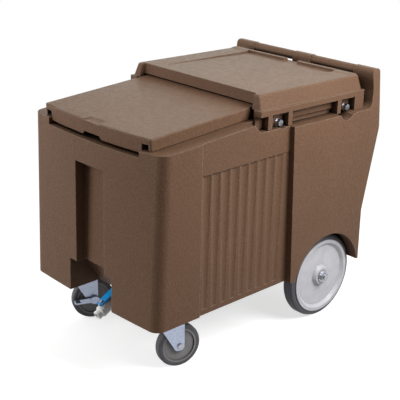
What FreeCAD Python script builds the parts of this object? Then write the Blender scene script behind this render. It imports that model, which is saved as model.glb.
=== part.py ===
import FreeCAD, Part
import math
import os
import Sketcher

# Mobile ice bin: an insulated moulded tub on two large rear wheels and two front swivel
# casters, with a front lid that slides back under a bolted rear cover, a push handle
# between moulded posts, and a drain tap in a notch under the front.
# The frame is X across, Y from the front to the handle, Z up, with the floor at Z = 0
# and the outer box centred on X = 0 and Y = 0. Lengths are millimetres.

SIZES = {
    # Overall
    "front_bow": 8,
    "front_bow_high": 22,
    "rear_half_width": 292,
    "body_bottom": 166,
    "handle_top": 742,
    "cut_overrun": 20,
    # Front hull of the tub
    "hull_half_width_low": 274,
    "hull_half_width_high": 279.5,
    "hull_height": 540,
    "hull_lean": 26,
    "hull_corner_radius": 30,
    "hull_inset": 20,
    # Rim and lid slope
    "rim_height_front": 476,
    "slide_slope": 3.55,
    "front_rim_drop": 17,
    # Shoulder beside the rear cover
    "collar_half_width": 243.5,
    "collar_inset": 14,
    "lid_side_gap": 3,
    "ramp_start": 338,
    "ramp_end": 362,
    "shoulder_height": 473,
    "cover_tilt": 1.2,
    # Rear housing and its outline
    "housing_start_low": 489,
    "housing_start_high": 476,
    "tail_drop": 9,
    "tail_inset": 25,
    "tail_straight": 150,
    "bulge_height": 400,
    "housing_step": 5,
    # Handle posts
    "post_gap": 30,
    "post_depth": 32,
    "post_inner": 207,
    "post_outer": 280,
    "centre_post_half_width": 36,
    "post_root_radius": 24,
    "post_sweep_height": 55,
    "post_sweep_depth": 11,
    "post_sweep_radius": 70,
    "post_edge_radius": 12,
    # Side panels
    "corner_panel_end": 150,
    "band_recess": 3.5,
    "panel_recess": 2,
    "panel_height": 398,
    "panel_margin": 3,
    "flute_count": 9,
    "flute_width": 31,
    "flute_depth": 6,
    "flute_bottom_gap": 16,
    # Front channel and drain notch
    "channel_half_width": 62,
    "channel_depth": 27,
    "channel_top_height": 391,
    "notch_half_width": 93,
    "notch_height": 97,
    "notch_ceiling_radius": 18,
    # Ice well
    "well_half_width": 195.5,
    "well_front": 88,
    "well_rear_wall": 65,
    "well_floor_height": 52,
    "well_corner_radius": 42,
    "well_floor_radius": 18,
    "well_wall_top": 194,
    # Lid rails
    "rail_inner": 198,
    "rail_width": 13,
    "rail_front": 62,
    "rail_rear": 742,
    # Rear wheels
    "rear_wheel_radius": 129,
    "rear_wheel_inset": 160,
    "rear_wheel_x": 242.5,
    "tyre_width": 38,
    "tyre_shoulder_radius": 9,
    "tyre_seat_radius": 113,
    "hub_ring_face": 22.5,
    "hub_ring_inner_radius": 103,
    "hub_web_face": 14,
    "hub_web_back": 5,
    "hub_boss_face": 25,
    "hub_boss_back": 24,
    "hub_boss_base_radius": 33,
    "hub_boss_top_radius": 26,
    "hub_back_ring": 17,
    "wheel_bush_radius": 12,
    "arch_lead": 12,
    "arch_centre_z": 132,
    "arch_radius": 142,
    "wheel_well_inner": 212,
    # Rear axle
    "axle_radius": 8,
    "axle_end": 14,
    "axle_boss_width": 30,
    "axle_boss_radius": 24,
    "axle_washer_radius": 19,
    "axle_washer_thickness": 2.5,
    "axle_nut_across_flats": 24,
    "axle_nut_thickness": 10,
    "axle_spacer_radius": 14,
    # Front casters
    "caster_x": 194.5,
    "caster_y": 106,
    "caster_swivel_right": 15,
    "caster_swivel_left": 21,
    "caster_trail": 30,
    "caster_wheel_radius": 63.5,
    "caster_tread_width": 26,
    "caster_tread_round": 6,
    "caster_core_radius": 51,
    "caster_core_web": 9,
    "caster_core_rim": 5,
    "caster_hub_radius": 17,
    "caster_hub_width": 29,
    "caster_bush_radius": 8,
    "caster_axle_radius": 5,
    "caster_axle_head": 8,
    "caster_axle_head_thickness": 4,
    "caster_plate_size": 95,
    "caster_plate_thickness": 5,
    "caster_plate_corner": 10,
    "caster_bolt_spread": 34,
    "caster_bolt_radius": 4,
    "caster_bolt_length": 28,
    "caster_bolt_head": 6.5,
    "caster_bolt_head_thickness": 5,
    "race_radius": 30,
    "race_height": 9,
    "bearing_height": 4,
    "bearing_ring_width": 8,
    "fork_plate_thickness": 5,
    "fork_leg_thickness": 3,
    "fork_leg_top": 33,
    "fork_leg_foot_radius": 13,
    "fork_crown_radius": 34,
    "kingpin_radius": 7,
    "kingpin_head_radius": 11,
    "kingpin_head_thickness": 4,
    "brake_arm_length": 62,
    "brake_arm_width": 15,
    "brake_arm_thickness": 3,
    "brake_pedal_width": 22,
    "brake_hub_radius": 12,
    # Sliding lid
    "lid_front": 24,
    "lid_gap": 1.5,
    "lid_length": 376,
    "lid_half_width": 226,
    "lid_leg_width": 9,
    "lid_leg_depth": 32,
    "lid_channel_depth": 16,
    "lid_plug_half_width": 193,
    "lid_plug_depth": 42,
    "lid_edge_radius": 5,
    "lid_bow": 14,
    "finger_notch_half_width": 40,
    "finger_notch_height": 9,
    "finger_notch_depth": 26,
    "finger_dish_radius": 60,
    "finger_dish_half_width": 34,
    "finger_dish_depth": 3,
    "finger_dish_y": 5,
    # Rear cover
    "cover_front": 374,
    "cover_rise": 96.2,
    "cover_length": 416,
    "cover_top_half_width": 250,
    "cover_ledge_inner_half_width": 265,
    "cover_bevel_front": 5,
    "cover_bevel_rear": 2,
    "cover_ledge_half_width": 272.5,
    "cover_ledge_reach_front": 9,
    "cover_ledge_reach_rear": 4,
    "cover_ledge_depth": 40.5,
    "cover_ledge_thickness": 16,
    "cover_skirt_outer": 250,
    "cover_skirt_inner": 244.5,
    "cover_front_wall_depth": 31,
    "cover_front_wall_thickness": 5,
    "cover_front_inset": 13,
    "cover_inset_half_width": 234,
    "cover_inset_radius": 10,
    "cover_rear_wall_thickness": 5,
    "cover_roof_thickness": 3,
    "cover_top_radius": 4,
    "cover_corner_radius": 7,
    "recess_half_width": 178,
    "recess_start": 54,
    "recess_inset": 19,
    "recess_depth_front": 1,
    "recess_depth": 5,
    "spill_notch_half_width": 27,
    "rear_rim_slope": 16,
    "rear_rim_width": 12,
    "rear_rim_rise": 3,
    "rib_a_start": 19,
    "rib_width": 15,
    "rib_b_start": 98,
    "rib_c_inset": 112,
    "rib_d_inset": 36,
    "long_window_lip": 13,
    # Cover fasteners
    "cover_bolt_first": 77,
    "cover_bolt_inset": 58,
    "cover_bolt_rise": 10,
    "cover_bolt_radius": 5,
    "cover_bolt_length": 28,
    "cover_bolt_head": 8.5,
    "cover_bolt_head_thickness": 12,
    "cover_bolt_washer_radius": 11.5,
    "cover_bolt_washer_thickness": 3,
    "cover_insert_radius": 9,
    "cover_insert_length": 30,
    "scallop_radius": 14,
    "rear_scallop_radius": 30,
    "rear_scallop_lead": 32,
    "rear_scallop_rise": 12,
    # Handle bar
    "handle_bar_radius": 14,
    "handle_bar_drop": 15,
    "handle_socket_depth": 14,
    # Drain shelf
    "shelf_gap": 6,
    "shelf_height": 22,
    "shelf_thickness": 5,
    "shelf_foot_radius": 9,
    "shelf_slot_length": 52,
    "shelf_slot_width": 10,
    "shelf_slots_across": 5,
    "shelf_slots_along": 12,
    "shelf_slot_pitch_across": 68,
    "shelf_slot_pitch_along": 44,
    # Drain tap
    "tap_x": 28,
    "tap_root_y": 88.4,
    "tap_root_height": 14.4,
    "tap_angle": 28,
    "tap_length": 109,
    "tap_neck_radius": 14,
    "tap_body_radius": 17,
    "tap_body_length": 36,
    "tap_flange_radius": 24,
    "tap_flange_thickness": 6,
    "tap_gasket_thickness": 3,
    "tap_shank_radius": 13,
    "tap_shank_length": 26,
    "tap_bore_radius": 8.5,
    "tap_nozzle_radius": 13,
    "tap_nozzle_chamfer": 1,
    "tap_stem_at": 78,
    "tap_stem_radius": 6.5,
    "tap_stem_boss_radius": 11,
    "tap_stem_boss_height": 20,
    "tap_stem_rise": 4.5,
    "tap_lever_length": 56,
    "tap_lever_width": 20,
    "tap_lever_thickness": 7,
    "tap_screw_radius": 3,
    "tap_screw_head_radius": 5.5,
    "tap_screw_head_height": 3,
    "drain_bore_length": 150,
    # Clearances
    "running_clearance": 0.05,
    "seat_clearance": 0.3,
}

doc = FreeCAD.newDocument("mobile_ice_bin")
sheet = doc.addObject("Spreadsheet::Sheet", "Sizes")
for row, (alias, number) in enumerate(SIZES.items(), start=1):
    sheet.set("A%d" % row, alias)
    sheet.set("B%d" % row, str(number))
    sheet.setAlias("B%d" % row, alias)
doc.recompute()


class Size:
    """A length that knows its value and the sheet formula that gives it."""

    def __init__(self, value, formula):
        self.value = float(value)
        self.formula = formula

    def __add__(self, other):
        other = as_size(other)
        return Size(self.value + other.value, "(%s + %s)" % (self.formula, other.formula))

    def __sub__(self, other):
        other = as_size(other)
        return Size(self.value - other.value, "(%s - %s)" % (self.formula, other.formula))

    def __mul__(self, other):
        other = as_size(other)
        return Size(self.value * other.value, "(%s * %s)" % (self.formula, other.formula))

    def __truediv__(self, other):
        other = as_size(other)
        return Size(self.value / other.value, "(%s / %s)" % (self.formula, other.formula))

    def __neg__(self):
        return Size(-self.value, "(-1 * %s)" % self.formula)

    __radd__ = __add__
    __rmul__ = __mul__


def as_size(number):
    """A plain factor or zero as a Size."""
    return number if isinstance(number, Size) else Size(number, repr(number))


def size(alias):
    """The named cell of the sheet."""
    return Size(sheet.get(alias), "Sizes.%s" % alias)


def tangent(angle):
    """The tangent of an angle in degrees."""
    return Size(math.tan(math.radians(angle.value)), "tan(%s * 1deg)" % angle.formula)


def cosine(angle):
    """The cosine of an angle in degrees."""
    return Size(math.cos(math.radians(angle.value)), "cos(%s * 1deg)" % angle.formula)


def sine(angle):
    """The sine of an angle in degrees."""
    return Size(math.sin(math.radians(angle.value)), "sin(%s * 1deg)" % angle.formula)


def larger(first, second):
    """The larger of two sizes."""
    formula = "max(%s; %s)" % (first.formula, second.formula)
    return Size(max(first.value, second.value), formula)


ZERO = Size(0, "0")
SIDES = (("left", -1), ("right", 1))
EDGE_STEP_SHARE = 0.3
TREAD_STEP_SHARE = 0.3
NORMAL_SIGN = {"XY_Plane": 1, "XZ_Plane": -1, "YZ_Plane": 1}


def new_body(label):
    """An empty body named after its sub-part."""
    body = doc.addObject("PartDesign::Body", label)
    body.Label = label
    return body


def origin_item(body, role):
    """One of the body's own origin planes or axes."""
    return next(item for item in body.Origin.OriginFeatures if item.Role == role)


def new_sketch(body, role, at=ZERO):
    """A sketch on an origin plane, moved along that plane's axis to the coordinate at."""
    sketch = body.newObject("Sketcher::SketchObject", "profile")
    sketch.AttachmentSupport = [(origin_item(body, role), "")]
    sketch.MapMode = "FlatFace"
    sketch.setExpression("AttachmentOffset.Base.z", (at * NORMAL_SIGN[role]).formula)
    return sketch


def constrain(sketch, kind, *arguments):
    """Adds a constraint; a Size as the last argument stays bound to the sheet."""
    last = arguments[-1]
    if isinstance(last, Size):
        index = sketch.addConstraint(Sketcher.Constraint(kind, *arguments[:-1], last.value))
        sketch.setExpression("Constraints[%d]" % index, last.formula)
    else:
        sketch.addConstraint(Sketcher.Constraint(kind, *arguments))


def fix_point(sketch, geometry, position, x, y):
    """Ties a point of the sketch to its two coordinates."""
    for kind, axis, value in (("DistanceX", -2, x), ("DistanceY", -1, y)):
        if value.formula == "0":
            sketch.addConstraint(Sketcher.Constraint("PointOnObject", geometry, position, axis))
        else:
            constrain(sketch, kind, -1, 1, geometry, position, value)


def outline(sketch, corners):
    """A closed outline through (x, y) or (x, y, radius) corners, rounded where a radius is given."""
    corners = [tuple(as_size(value) for value in corner) for corner in corners]
    count = len(corners)
    places = [FreeCAD.Vector(corner[0].value, corner[1].value, 0) for corner in corners]
    arrive = []
    leave = []
    arcs = []
    for index, corner in enumerate(corners):
        place = places[index]
        if len(corner) < 3:
            arrive.append(place)
            leave.append(place)
            arcs.append(None)
            continue
        radius = corner[2].value
        inward = (place - places[index - 1]).normalize()
        outward = (places[(index + 1) % count] - place).normalize()
        turn = math.atan2(inward.cross(outward).z, inward.dot(outward))
        reach = radius * math.tan(abs(turn) / 2)
        start = place - inward * reach
        end = place + outward * reach
        side = FreeCAD.Vector(-inward.y, inward.x, 0) * math.copysign(radius, turn)
        arrive.append(start)
        leave.append(end)
        arcs.append((start + side, radius, turn))
    lines = []
    for index in range(count):
        segment = Part.LineSegment(leave[index], arrive[(index + 1) % count])
        lines.append(sketch.addGeometry(segment))
    for index, corner in enumerate(corners):
        before = lines[index - 1]
        after = lines[index]
        if arcs[index] is None:
            constrain(sketch, "Coincident", before, 2, after, 1)
            fix_point(sketch, after, 1, corner[0], corner[1])
            continue
        centre, radius, turn = arcs[index]
        first = arrive[index] if turn > 0 else leave[index]
        last = leave[index] if turn > 0 else arrive[index]
        begin = math.atan2(first.y - centre.y, first.x - centre.x)
        finish = math.atan2(last.y - centre.y, last.x - centre.x)
        round_part = Part.ArcOfCircle(Part.Circle(centre, FreeCAD.Vector(0, 0, 1), radius), begin, finish)
        arc = sketch.addGeometry(round_part)
        point = sketch.addGeometry(Part.Point(places[index]), True)
        constrain(sketch, "Tangent", before, 2, arc, 1 if turn > 0 else 2)
        constrain(sketch, "Tangent", arc, 2 if turn > 0 else 1, after, 1)
        constrain(sketch, "Radius", arc, corner[2])
        constrain(sketch, "PointOnObject", point, 1, before)
        constrain(sketch, "PointOnObject", point, 1, after)
        fix_point(sketch, point, 1, corner[0], corner[1])
    return sketch


def box_outline(sketch, x_low, x_high, y_low, y_high, radius=None):
    """A rectangle, with its corners rounded where a radius is given."""
    extra = () if radius is None else (radius,)
    corners = ((x_low, y_low), (x_high, y_low), (x_high, y_high), (x_low, y_high))
    return outline(sketch, [corner + extra for corner in corners])


def circle(sketch, x, y, radius):
    """A full circle about (x, y)."""
    x = as_size(x)
    y = as_size(y)
    centre = FreeCAD.Vector(x.value, y.value, 0)
    index = sketch.addGeometry(Part.Circle(centre, FreeCAD.Vector(0, 0, 1), radius.value))
    constrain(sketch, "Radius", index, radius)
    fix_point(sketch, index, 3, x, y)
    return sketch


def hexagon(sketch, x, y, across_flats):
    """A hexagon about (x, y), measured across its flats."""
    x = as_size(x)
    y = as_size(y)
    slant = tangent(Size(30, "30")) * across_flats / 2
    half = across_flats / 2
    corners = (
        (x + half, y - slant),
        (x + half, y + slant),
        (x, y + slant * 2),
        (x - half, y + slant),
        (x - half, y - slant),
        (x, y - slant * 2),
    )
    return outline(sketch, corners)


def extrude(kind, body, sketch, length, along, both, name):
    """A pad or pocket of the sketch, to the side of its plane that along names."""
    feature = body.newObject("PartDesign::" + kind, name)
    feature.Profile = sketch
    feature.setExpression("Length", length.formula)
    role = sketch.AttachmentSupport[0][0].Role
    forward = along * NORMAL_SIGN[role] > 0
    feature.Reversed = (not forward) if kind == "Pad" else forward
    if both:
        feature.SideType = "Symmetric"
    return feature


def pad(body, sketch, length, along=1, both=False, name="pad"):
    """Adds the sketch, pulled out along its axis."""
    return extrude("Pad", body, sketch, length, along, both, name)


def pocket(body, sketch, length, along=1, both=False, name="pocket"):
    """Cuts the sketch, pushed along its axis."""
    return extrude("Pocket", body, sketch, length, along, both, name)


def revolve(body, sketch, name="turned"):
    """A full turn of the sketch about its own horizontal axis."""
    feature = body.newObject("PartDesign::Revolution", name)
    feature.Profile = sketch
    feature.ReferenceAxis = (sketch, ["H_Axis"])
    feature.Angle = 360
    return feature


def spin(body, sketch, name="turned"):
    """A full turn of the sketch about its own vertical axis."""
    feature = body.newObject("PartDesign::Revolution", name)
    feature.Profile = sketch
    feature.ReferenceAxis = (sketch, ["V_Axis"])
    feature.Angle = 360
    return feature


def loft(kind, body, first, second, name="loft"):
    """A straight-sided loft between two sketches with like outlines."""
    feature = body.newObject("PartDesign::%sLoft" % kind, name)
    feature.Profile = first
    feature.Sections = [second]
    feature.Ruled = True
    return feature


def mirror(body, features, role="YZ_Plane", name="mirrored"):
    """Repeats the features on the other side of an origin plane."""
    feature = body.newObject("PartDesign::Mirrored", name)
    feature.Originals = features
    feature.MirrorPlane = (origin_item(body, role), [""])
    body.Tip = feature
    return feature


def make_pattern(body, role, pitch, count):
    """One direction of a grid: count times at the pitch along an origin axis."""
    feature = body.newObject("PartDesign::LinearPattern", "grid_line")
    feature.Direction = (origin_item(body, role), [""])
    feature.Mode = "Spacing"
    feature.setExpression("Offset", pitch.formula)
    feature.setExpression("Occurrences", count.formula)
    return feature


def grid(body, original, transformations, name):
    """Repeats a feature by several transformations in turn."""
    feature = body.newObject("PartDesign::MultiTransform", name)
    feature.Originals = [original]
    feature.Transformations = transformations
    body.Tip = feature
    return feature


def round_edges(body, base, radius, chosen, name="rounding"):
    """Rounds the edges of the base feature that chosen picks."""
    doc.recompute()
    names = []
    for index, edge in enumerate(base.Shape.Edges, start=1):
        if chosen(edge):
            names.append("Edge%d" % index)
    feature = body.newObject("PartDesign::Fillet", name)
    feature.Base = (base, names)
    feature.setExpression("Radius", radius.formula)
    body.Tip = feature
    return feature


def put(item, x=ZERO, y=ZERO, z=ZERO, turn=None, axis=(0, 0, 1)):
    """Places a sub-part; turn is its angle in degrees about the axis through its own origin."""
    if turn is not None:
        item.Placement = FreeCAD.Placement(FreeCAD.Vector(), FreeCAD.Rotation(FreeCAD.Vector(*axis), 1))
        item.setExpression("Placement.Rotation.Angle", turn.formula)
    item.setExpression("Placement.Base.x", x.formula)
    item.setExpression("Placement.Base.y", y.formula)
    item.setExpression("Placement.Base.z", z.formula)
    return item


overrun = size("cut_overrun")
seat = size("seat_clearance")
running = size("running_clearance")
bottom = size("body_bottom")
tap_lip = size("tap_nozzle_radius") - size("tap_nozzle_chamfer")
tap_run = size("tap_length") * cosine(size("tap_angle")) + tap_lip * sine(size("tap_angle"))
tap_reach = tap_run - size("tap_root_y")
cover_end = size("cover_front") + size("cover_length")
post_front = cover_end + size("post_gap")
post_rear = post_front + size("post_depth")
hull_reach = post_front - size("hull_inset")
tail_reach = post_front - size("tail_inset")
well_rear = hull_reach - size("well_rear_wall")
wheel_reach = post_front - size("rear_wheel_inset")
arch_reach = wheel_reach - size("arch_lead")
collar_rear = cover_end - size("collar_inset")
recess_end = size("cover_length") - size("recess_inset")
rib_c_start = size("cover_length") - size("rib_c_inset")
rib_d_start = size("cover_length") - size("rib_d_inset")
bolt_pitch = size("cover_length") - size("cover_bolt_first") - size("cover_bolt_inset")
scallop_reach = cover_end - size("cover_bolt_inset") - size("rear_scallop_lead")
housing_top = post_rear - size("housing_step")
bar_middle = (post_front + post_rear) / 2
bar_height = size("handle_top") - size("handle_bar_drop")
front = (tap_reach - post_rear) / 2
slope = tangent(size("slide_slope"))
fall = tangent(size("cover_tilt"))
rear_end = front + post_rear
side_reach = size("rear_half_width") + overrun
high = size("handle_top") + overrun
lid_top = bottom + size("rim_height_front") + slope * size("lid_front") + size("lid_leg_depth") + size("lid_gap")
cover_top = bottom + size("shoulder_height") - fall * (size("cover_front") - size("ramp_end")) + size("cover_rise")


def rim_at(distance):
    """Height of the rim at a distance behind the front."""
    return bottom + size("rim_height_front") + slope * distance


def shoulder_at(distance):
    """Height of the shoulder beside the rear cover."""
    return bottom + size("shoulder_height") - fall * (distance - size("ramp_end"))


def hull_half_at(height):
    """Half width of the drafted hull at a height above its bottom."""
    low = size("hull_half_width_low")
    return low + (size("hull_half_width_high") - low) * height / size("hull_height")


def lean_at(height):
    """How far the leaning front stands behind its foot at a height above the bottom."""
    return size("hull_lean") * height / size("hull_height")


def bow_at(height):
    """How far the front bows forward at a height above the bottom."""
    low = size("front_bow")
    return low + (size("front_bow_high") - low) * height / size("hull_height")


def bowed_plan(sketch, half, near, far, bow, radius):
    """A plan with a bowed front edge, rounded front corners and a straight rear."""
    inner = half - radius
    sweep = (half * half + bow * bow) / (bow * 2)
    centre_y = near - bow + sweep
    reach = math.sqrt((sweep.value - radius.value) ** 2 - inner.value ** 2)
    corner_y = centre_y.value - reach
    angle = math.atan2(inner.value, reach)
    up = FreeCAD.Vector(0, 0, 1)
    middle = FreeCAD.Vector(0, centre_y.value, 0)
    down = -math.pi / 2
    front_arc = Part.ArcOfCircle(Part.Circle(middle, up, sweep.value), down - angle, down + angle)
    front_edge = sketch.addGeometry(front_arc)
    corners = []
    for side, start, end in ((1, down + angle, 0), (-1, -math.pi, down - angle)):
        place = FreeCAD.Vector(inner.value * side, corner_y, 0)
        corner = Part.ArcOfCircle(Part.Circle(place, up, radius.value), start, end)
        corners.append(sketch.addGeometry(corner))
    right, left = corners
    places = [FreeCAD.Vector(half.value * side, y, 0) for side, y in
              ((1, corner_y), (1, far.value), (-1, far.value), (-1, corner_y))]
    lines = [sketch.addGeometry(Part.LineSegment(*ends)) for ends in zip(places, places[1:])]
    constrain(sketch, "Tangent", front_edge, 2, right, 1)
    constrain(sketch, "Tangent", front_edge, 1, left, 2)
    constrain(sketch, "Tangent", right, 2, lines[0], 1)
    constrain(sketch, "Tangent", left, 1, lines[2], 2)
    constrain(sketch, "Radius", front_edge, sweep)
    constrain(sketch, "Radius", right, radius)
    constrain(sketch, "Radius", left, radius)
    fix_point(sketch, front_edge, 3, ZERO, centre_y)
    constrain(sketch, "Coincident", lines[0], 2, lines[1], 1)
    constrain(sketch, "Coincident", lines[1], 2, lines[2], 1)
    fix_point(sketch, lines[1], 1, half, far)
    fix_point(sketch, lines[1], 2, -half, far)
    return sketch


def hull_plan(body, height):
    """Plan of the hull at a height above its bottom."""
    sketch = new_sketch(body, "XY_Plane", bottom + height)
    near = front + lean_at(height)
    far = front + hull_reach
    return bowed_plan(sketch, hull_half_at(height), near, far, bow_at(height), size("hull_corner_radius"))


def front_box(body, at, x_low, x_high, z_low, z_high, radius=None):
    """A rectangle in front view on the plane Y = at."""
    return box_outline(new_sketch(body, "XZ_Plane", at), x_low, x_high, z_low, z_high, radius)


def build_tub():
    """The insulated tub: hull, rear housing, posts, well, notch, arches and side panels."""
    body = new_body("tub")
    hull_top = size("hull_height")
    loft("Additive", body, hull_plan(body, ZERO), hull_plan(body, hull_top), "hull")
    add_rim(body)
    add_side_panels(body)
    add_housing(body)
    add_posts(body)
    add_front_recesses(body)
    add_well(body)
    add_wheel_wells(body)
    add_rails(body)
    add_fixings(body)
    return body


def add_rim(body):
    """Slopes the rim, leaves a hump before the cover, and drops the shoulder beside it."""
    far = post_rear + overrun
    peak = size("ramp_start")
    above = new_sketch(body, "YZ_Plane")
    outline(above, (
        (front - overrun, rim_at(-overrun)),
        (front + far, rim_at(far)),
        (front + far, high + overrun),
        (front - overrun, high + overrun),
    ))
    pocket(body, above, side_reach * 2, both=True, name="rim_slope")
    collar = new_sketch(body, "YZ_Plane", size("collar_half_width"))
    outline(collar, (
        (front + peak, rim_at(peak)),
        (front + size("ramp_end"), shoulder_at(size("ramp_end"))),
        (front + far, shoulder_at(far)),
        (front + far, high),
        (front + peak, high),
    ))
    drop = pocket(body, collar, side_reach - size("collar_half_width"), name="shoulder_drop")
    mirror(body, [drop], name="shoulder_drop_pair")
    behind = new_sketch(body, "YZ_Plane")
    outline(behind, (
        (front + collar_rear, shoulder_at(collar_rear)),
        (front + far, shoulder_at(far)),
        (front + far, high),
        (front + collar_rear, high),
    ))
    pocket(body, behind, side_reach * 2, both=True, name="collar_end")
    half = size("well_wall_top")
    low = rim_at(ZERO) - size("front_rim_drop")
    near = front_box(body, front - overrun, -half, half, low, high)
    pocket(body, near, size("well_front") + size("well_corner_radius") + overrun, name="front_rim")


def drafted_side(body, at, recess, top):
    """Front view of the strip outside the drafted side, recess deep, up to a height."""
    sketch = new_sketch(body, "XZ_Plane", at)
    below = -overrun
    return outline(sketch, (
        (hull_half_at(below) - recess, bottom + below),
        (side_reach + overrun, bottom + below),
        (side_reach + overrun, bottom + top),
        (hull_half_at(top) - recess, bottom + top),
    ))


def add_side_panels(body):
    """Recesses the sides behind the corner panels and flutes the lower panel."""
    start = front + size("corner_panel_end")
    length = hull_reach - size("corner_panel_end") + overrun
    band = drafted_side(body, start, size("band_recess"), size("hull_height") + overrun)
    band = pocket(body, band, length, name="band")
    deeper = size("band_recess") + size("panel_recess")
    panel = drafted_side(body, start + size("panel_margin"), deeper, size("panel_height"))
    panel = pocket(body, panel, length, name="fluted_panel")
    half_chord = size("flute_width") / 2
    depth = size("flute_depth")
    radius = (half_chord * half_chord + depth * depth) / (depth * 2)
    surface = hull_half_at(size("panel_height")) - deeper
    top = bottom + size("panel_height")
    first = start + size("panel_margin") * 2 + half_chord
    flute_sketch = new_sketch(body, "XY_Plane", top)
    circle(flute_sketch, surface + radius - depth, first, radius)
    mirror(body, [band, panel], name="side_panel_pair")
    flute = pocket(body, flute_sketch, size("panel_height") - size("flute_bottom_gap"), along=-1, name="flute")
    row = make_pattern(body, "Y_Axis", size("flute_width") + size("panel_margin"), size("flute_count"))
    both = body.newObject("PartDesign::Mirrored", "both_sides")
    both.MirrorPlane = (origin_item(body, "YZ_Plane"), [""])
    grid(body, flute, [row, both], "flutes")


def add_housing(body):
    """The proud rear housing, with its slanted back and the pointed tails behind the wheels."""
    sketch = new_sketch(body, "YZ_Plane")
    start_low = front + size("housing_start_low")
    start_high = front + size("housing_start_high")
    tail = front + tail_reach
    foot = bottom - size("tail_drop")
    straight = bottom + size("tail_straight")
    bulge = bottom + size("bulge_height")
    outline(sketch, (
        (start_low, bottom),
        (front + arch_reach, bottom),
        (front + arch_reach, foot),
        (tail, foot),
        (tail, straight, size("hull_corner_radius") * 2),
        (rear_end, bulge, size("hull_corner_radius") * 2),
        (front + housing_top, shoulder_at(housing_top)),
        (start_high, shoulder_at(size("housing_start_high"))),
    ))
    return pad(body, sketch, size("rear_half_width") * 2, both=True, name="rear_housing")


def post_outline(body, at):
    """Side view of a handle post that sweeps up from the shoulder."""
    near = front + post_front
    foot = near - size("post_sweep_depth")
    root = size("post_root_radius")
    shoulder = shoulder_at(post_front)
    rear = front + post_rear
    rear_foot = front + housing_top
    edge = size("post_edge_radius")
    sketch = new_sketch(body, "YZ_Plane", at)
    return outline(sketch, (
        (foot - root * 2, shoulder - root * 2),
        (rear_foot, shoulder - root * 2),
        (rear_foot, shoulder),
        (rear, size("handle_top"), edge),
        (near, size("handle_top"), edge),
        (near, shoulder + size("post_sweep_height"), size("post_sweep_radius")),
        (foot, shoulder, root),
        (foot - root * 2, shoulder),
    ))


def add_posts(body):
    """Two side posts and a centre post that carry the handle bar."""
    width = size("rear_half_width") - size("post_inner")
    side = pad(body, post_outline(body, size("post_inner")), width, name="side_post")
    start = post_front - size("post_sweep_depth") - size("post_root_radius")
    lean = new_sketch(body, "XZ_Plane", front + start)
    outline(lean, (
        (size("rear_half_width"), shoulder_at(start)),
        (side_reach, shoulder_at(start)),
        (side_reach, high),
        (size("post_outer"), high),
        (size("post_outer"), size("handle_top")),
    ))
    lean = pocket(body, lean, post_rear - start + overrun, name="side_post_lean")
    mirror(body, [side, lean], name="side_post_pair")
    pad(body, post_outline(body, ZERO), size("centre_post_half_width") * 2, both=True, name="centre_post")
    bore = new_sketch(body, "YZ_Plane")
    circle(bore, front + bar_middle, bar_height, size("handle_bar_radius") + running)
    length = (size("post_inner") + size("handle_socket_depth")) * 2
    pocket(body, bore, length, both=True, name="bar_bore")


def add_front_recesses(body):
    """The upright channel in the front and the drain notch under it."""
    notch = new_sketch(body, "YZ_Plane")
    out = front - size("front_bow_high") - overrun
    roof = bottom + size("notch_height")
    slant = tangent(size("tap_angle"))
    root = front + size("tap_root_y")
    foot = root + slant * size("tap_root_height")
    back = root - slant * (size("notch_height") - size("tap_root_height"))
    outline(notch, (
        (out, bottom - overrun),
        (foot + slant * overrun, bottom - overrun),
        (back, roof, size("notch_ceiling_radius")),
        (out, roof),
    ))
    pocket(body, notch, size("notch_half_width") * 2, both=True, name="drain_notch")
    channel = new_sketch(body, "YZ_Plane")
    low = size("notch_height") - running
    top = size("channel_top_height")
    depth = size("channel_depth") - size("front_bow")
    outline(channel, (
        (out, bottom + low),
        (front + lean_at(low) + depth, bottom + low),
        (front + lean_at(top) + depth, bottom + top),
        (out, bottom + top),
    ))
    pocket(body, channel, size("channel_half_width") * 2, both=True, name="front_channel")


def add_well(body):
    """The ice well, open at the top, and the drain bore at its front corner."""
    floor = bottom + size("well_floor_height")
    half = size("well_half_width")
    top = new_sketch(body, "XY_Plane", high)
    box_outline(top, -half, half, front + size("well_front"), front + well_rear, size("well_corner_radius"))
    well = pocket(body, top, high - floor, along=-1, name="ice_well")

    def on_floor(edge):
        return all(abs(vertex.Z - floor.value) < running.value for vertex in edge.Vertexes)

    round_edges(body, well, size("well_floor_radius"), on_floor, "well_floor_round")
    bore = body.newObject("PartDesign::SubtractiveCylinder", "drain_bore")
    bore.setExpression("Radius", (size("tap_shank_radius") + running).formula)
    bore.setExpression("Height", size("drain_bore_length").formula)
    bore.Placement = FreeCAD.Placement(FreeCAD.Vector(), FreeCAD.Rotation(FreeCAD.Vector(1, 0, 0), 1))
    bore.setExpression("Placement.Rotation.Angle", (size("tap_angle") - 90).formula)
    bore.setExpression("Placement.Base.x", size("tap_x").formula)
    bore.setExpression("Placement.Base.y", (front + size("tap_root_y")).formula)
    bore.setExpression("Placement.Base.z", (bottom + size("tap_root_height")).formula)
    body.Tip = bore


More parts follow.
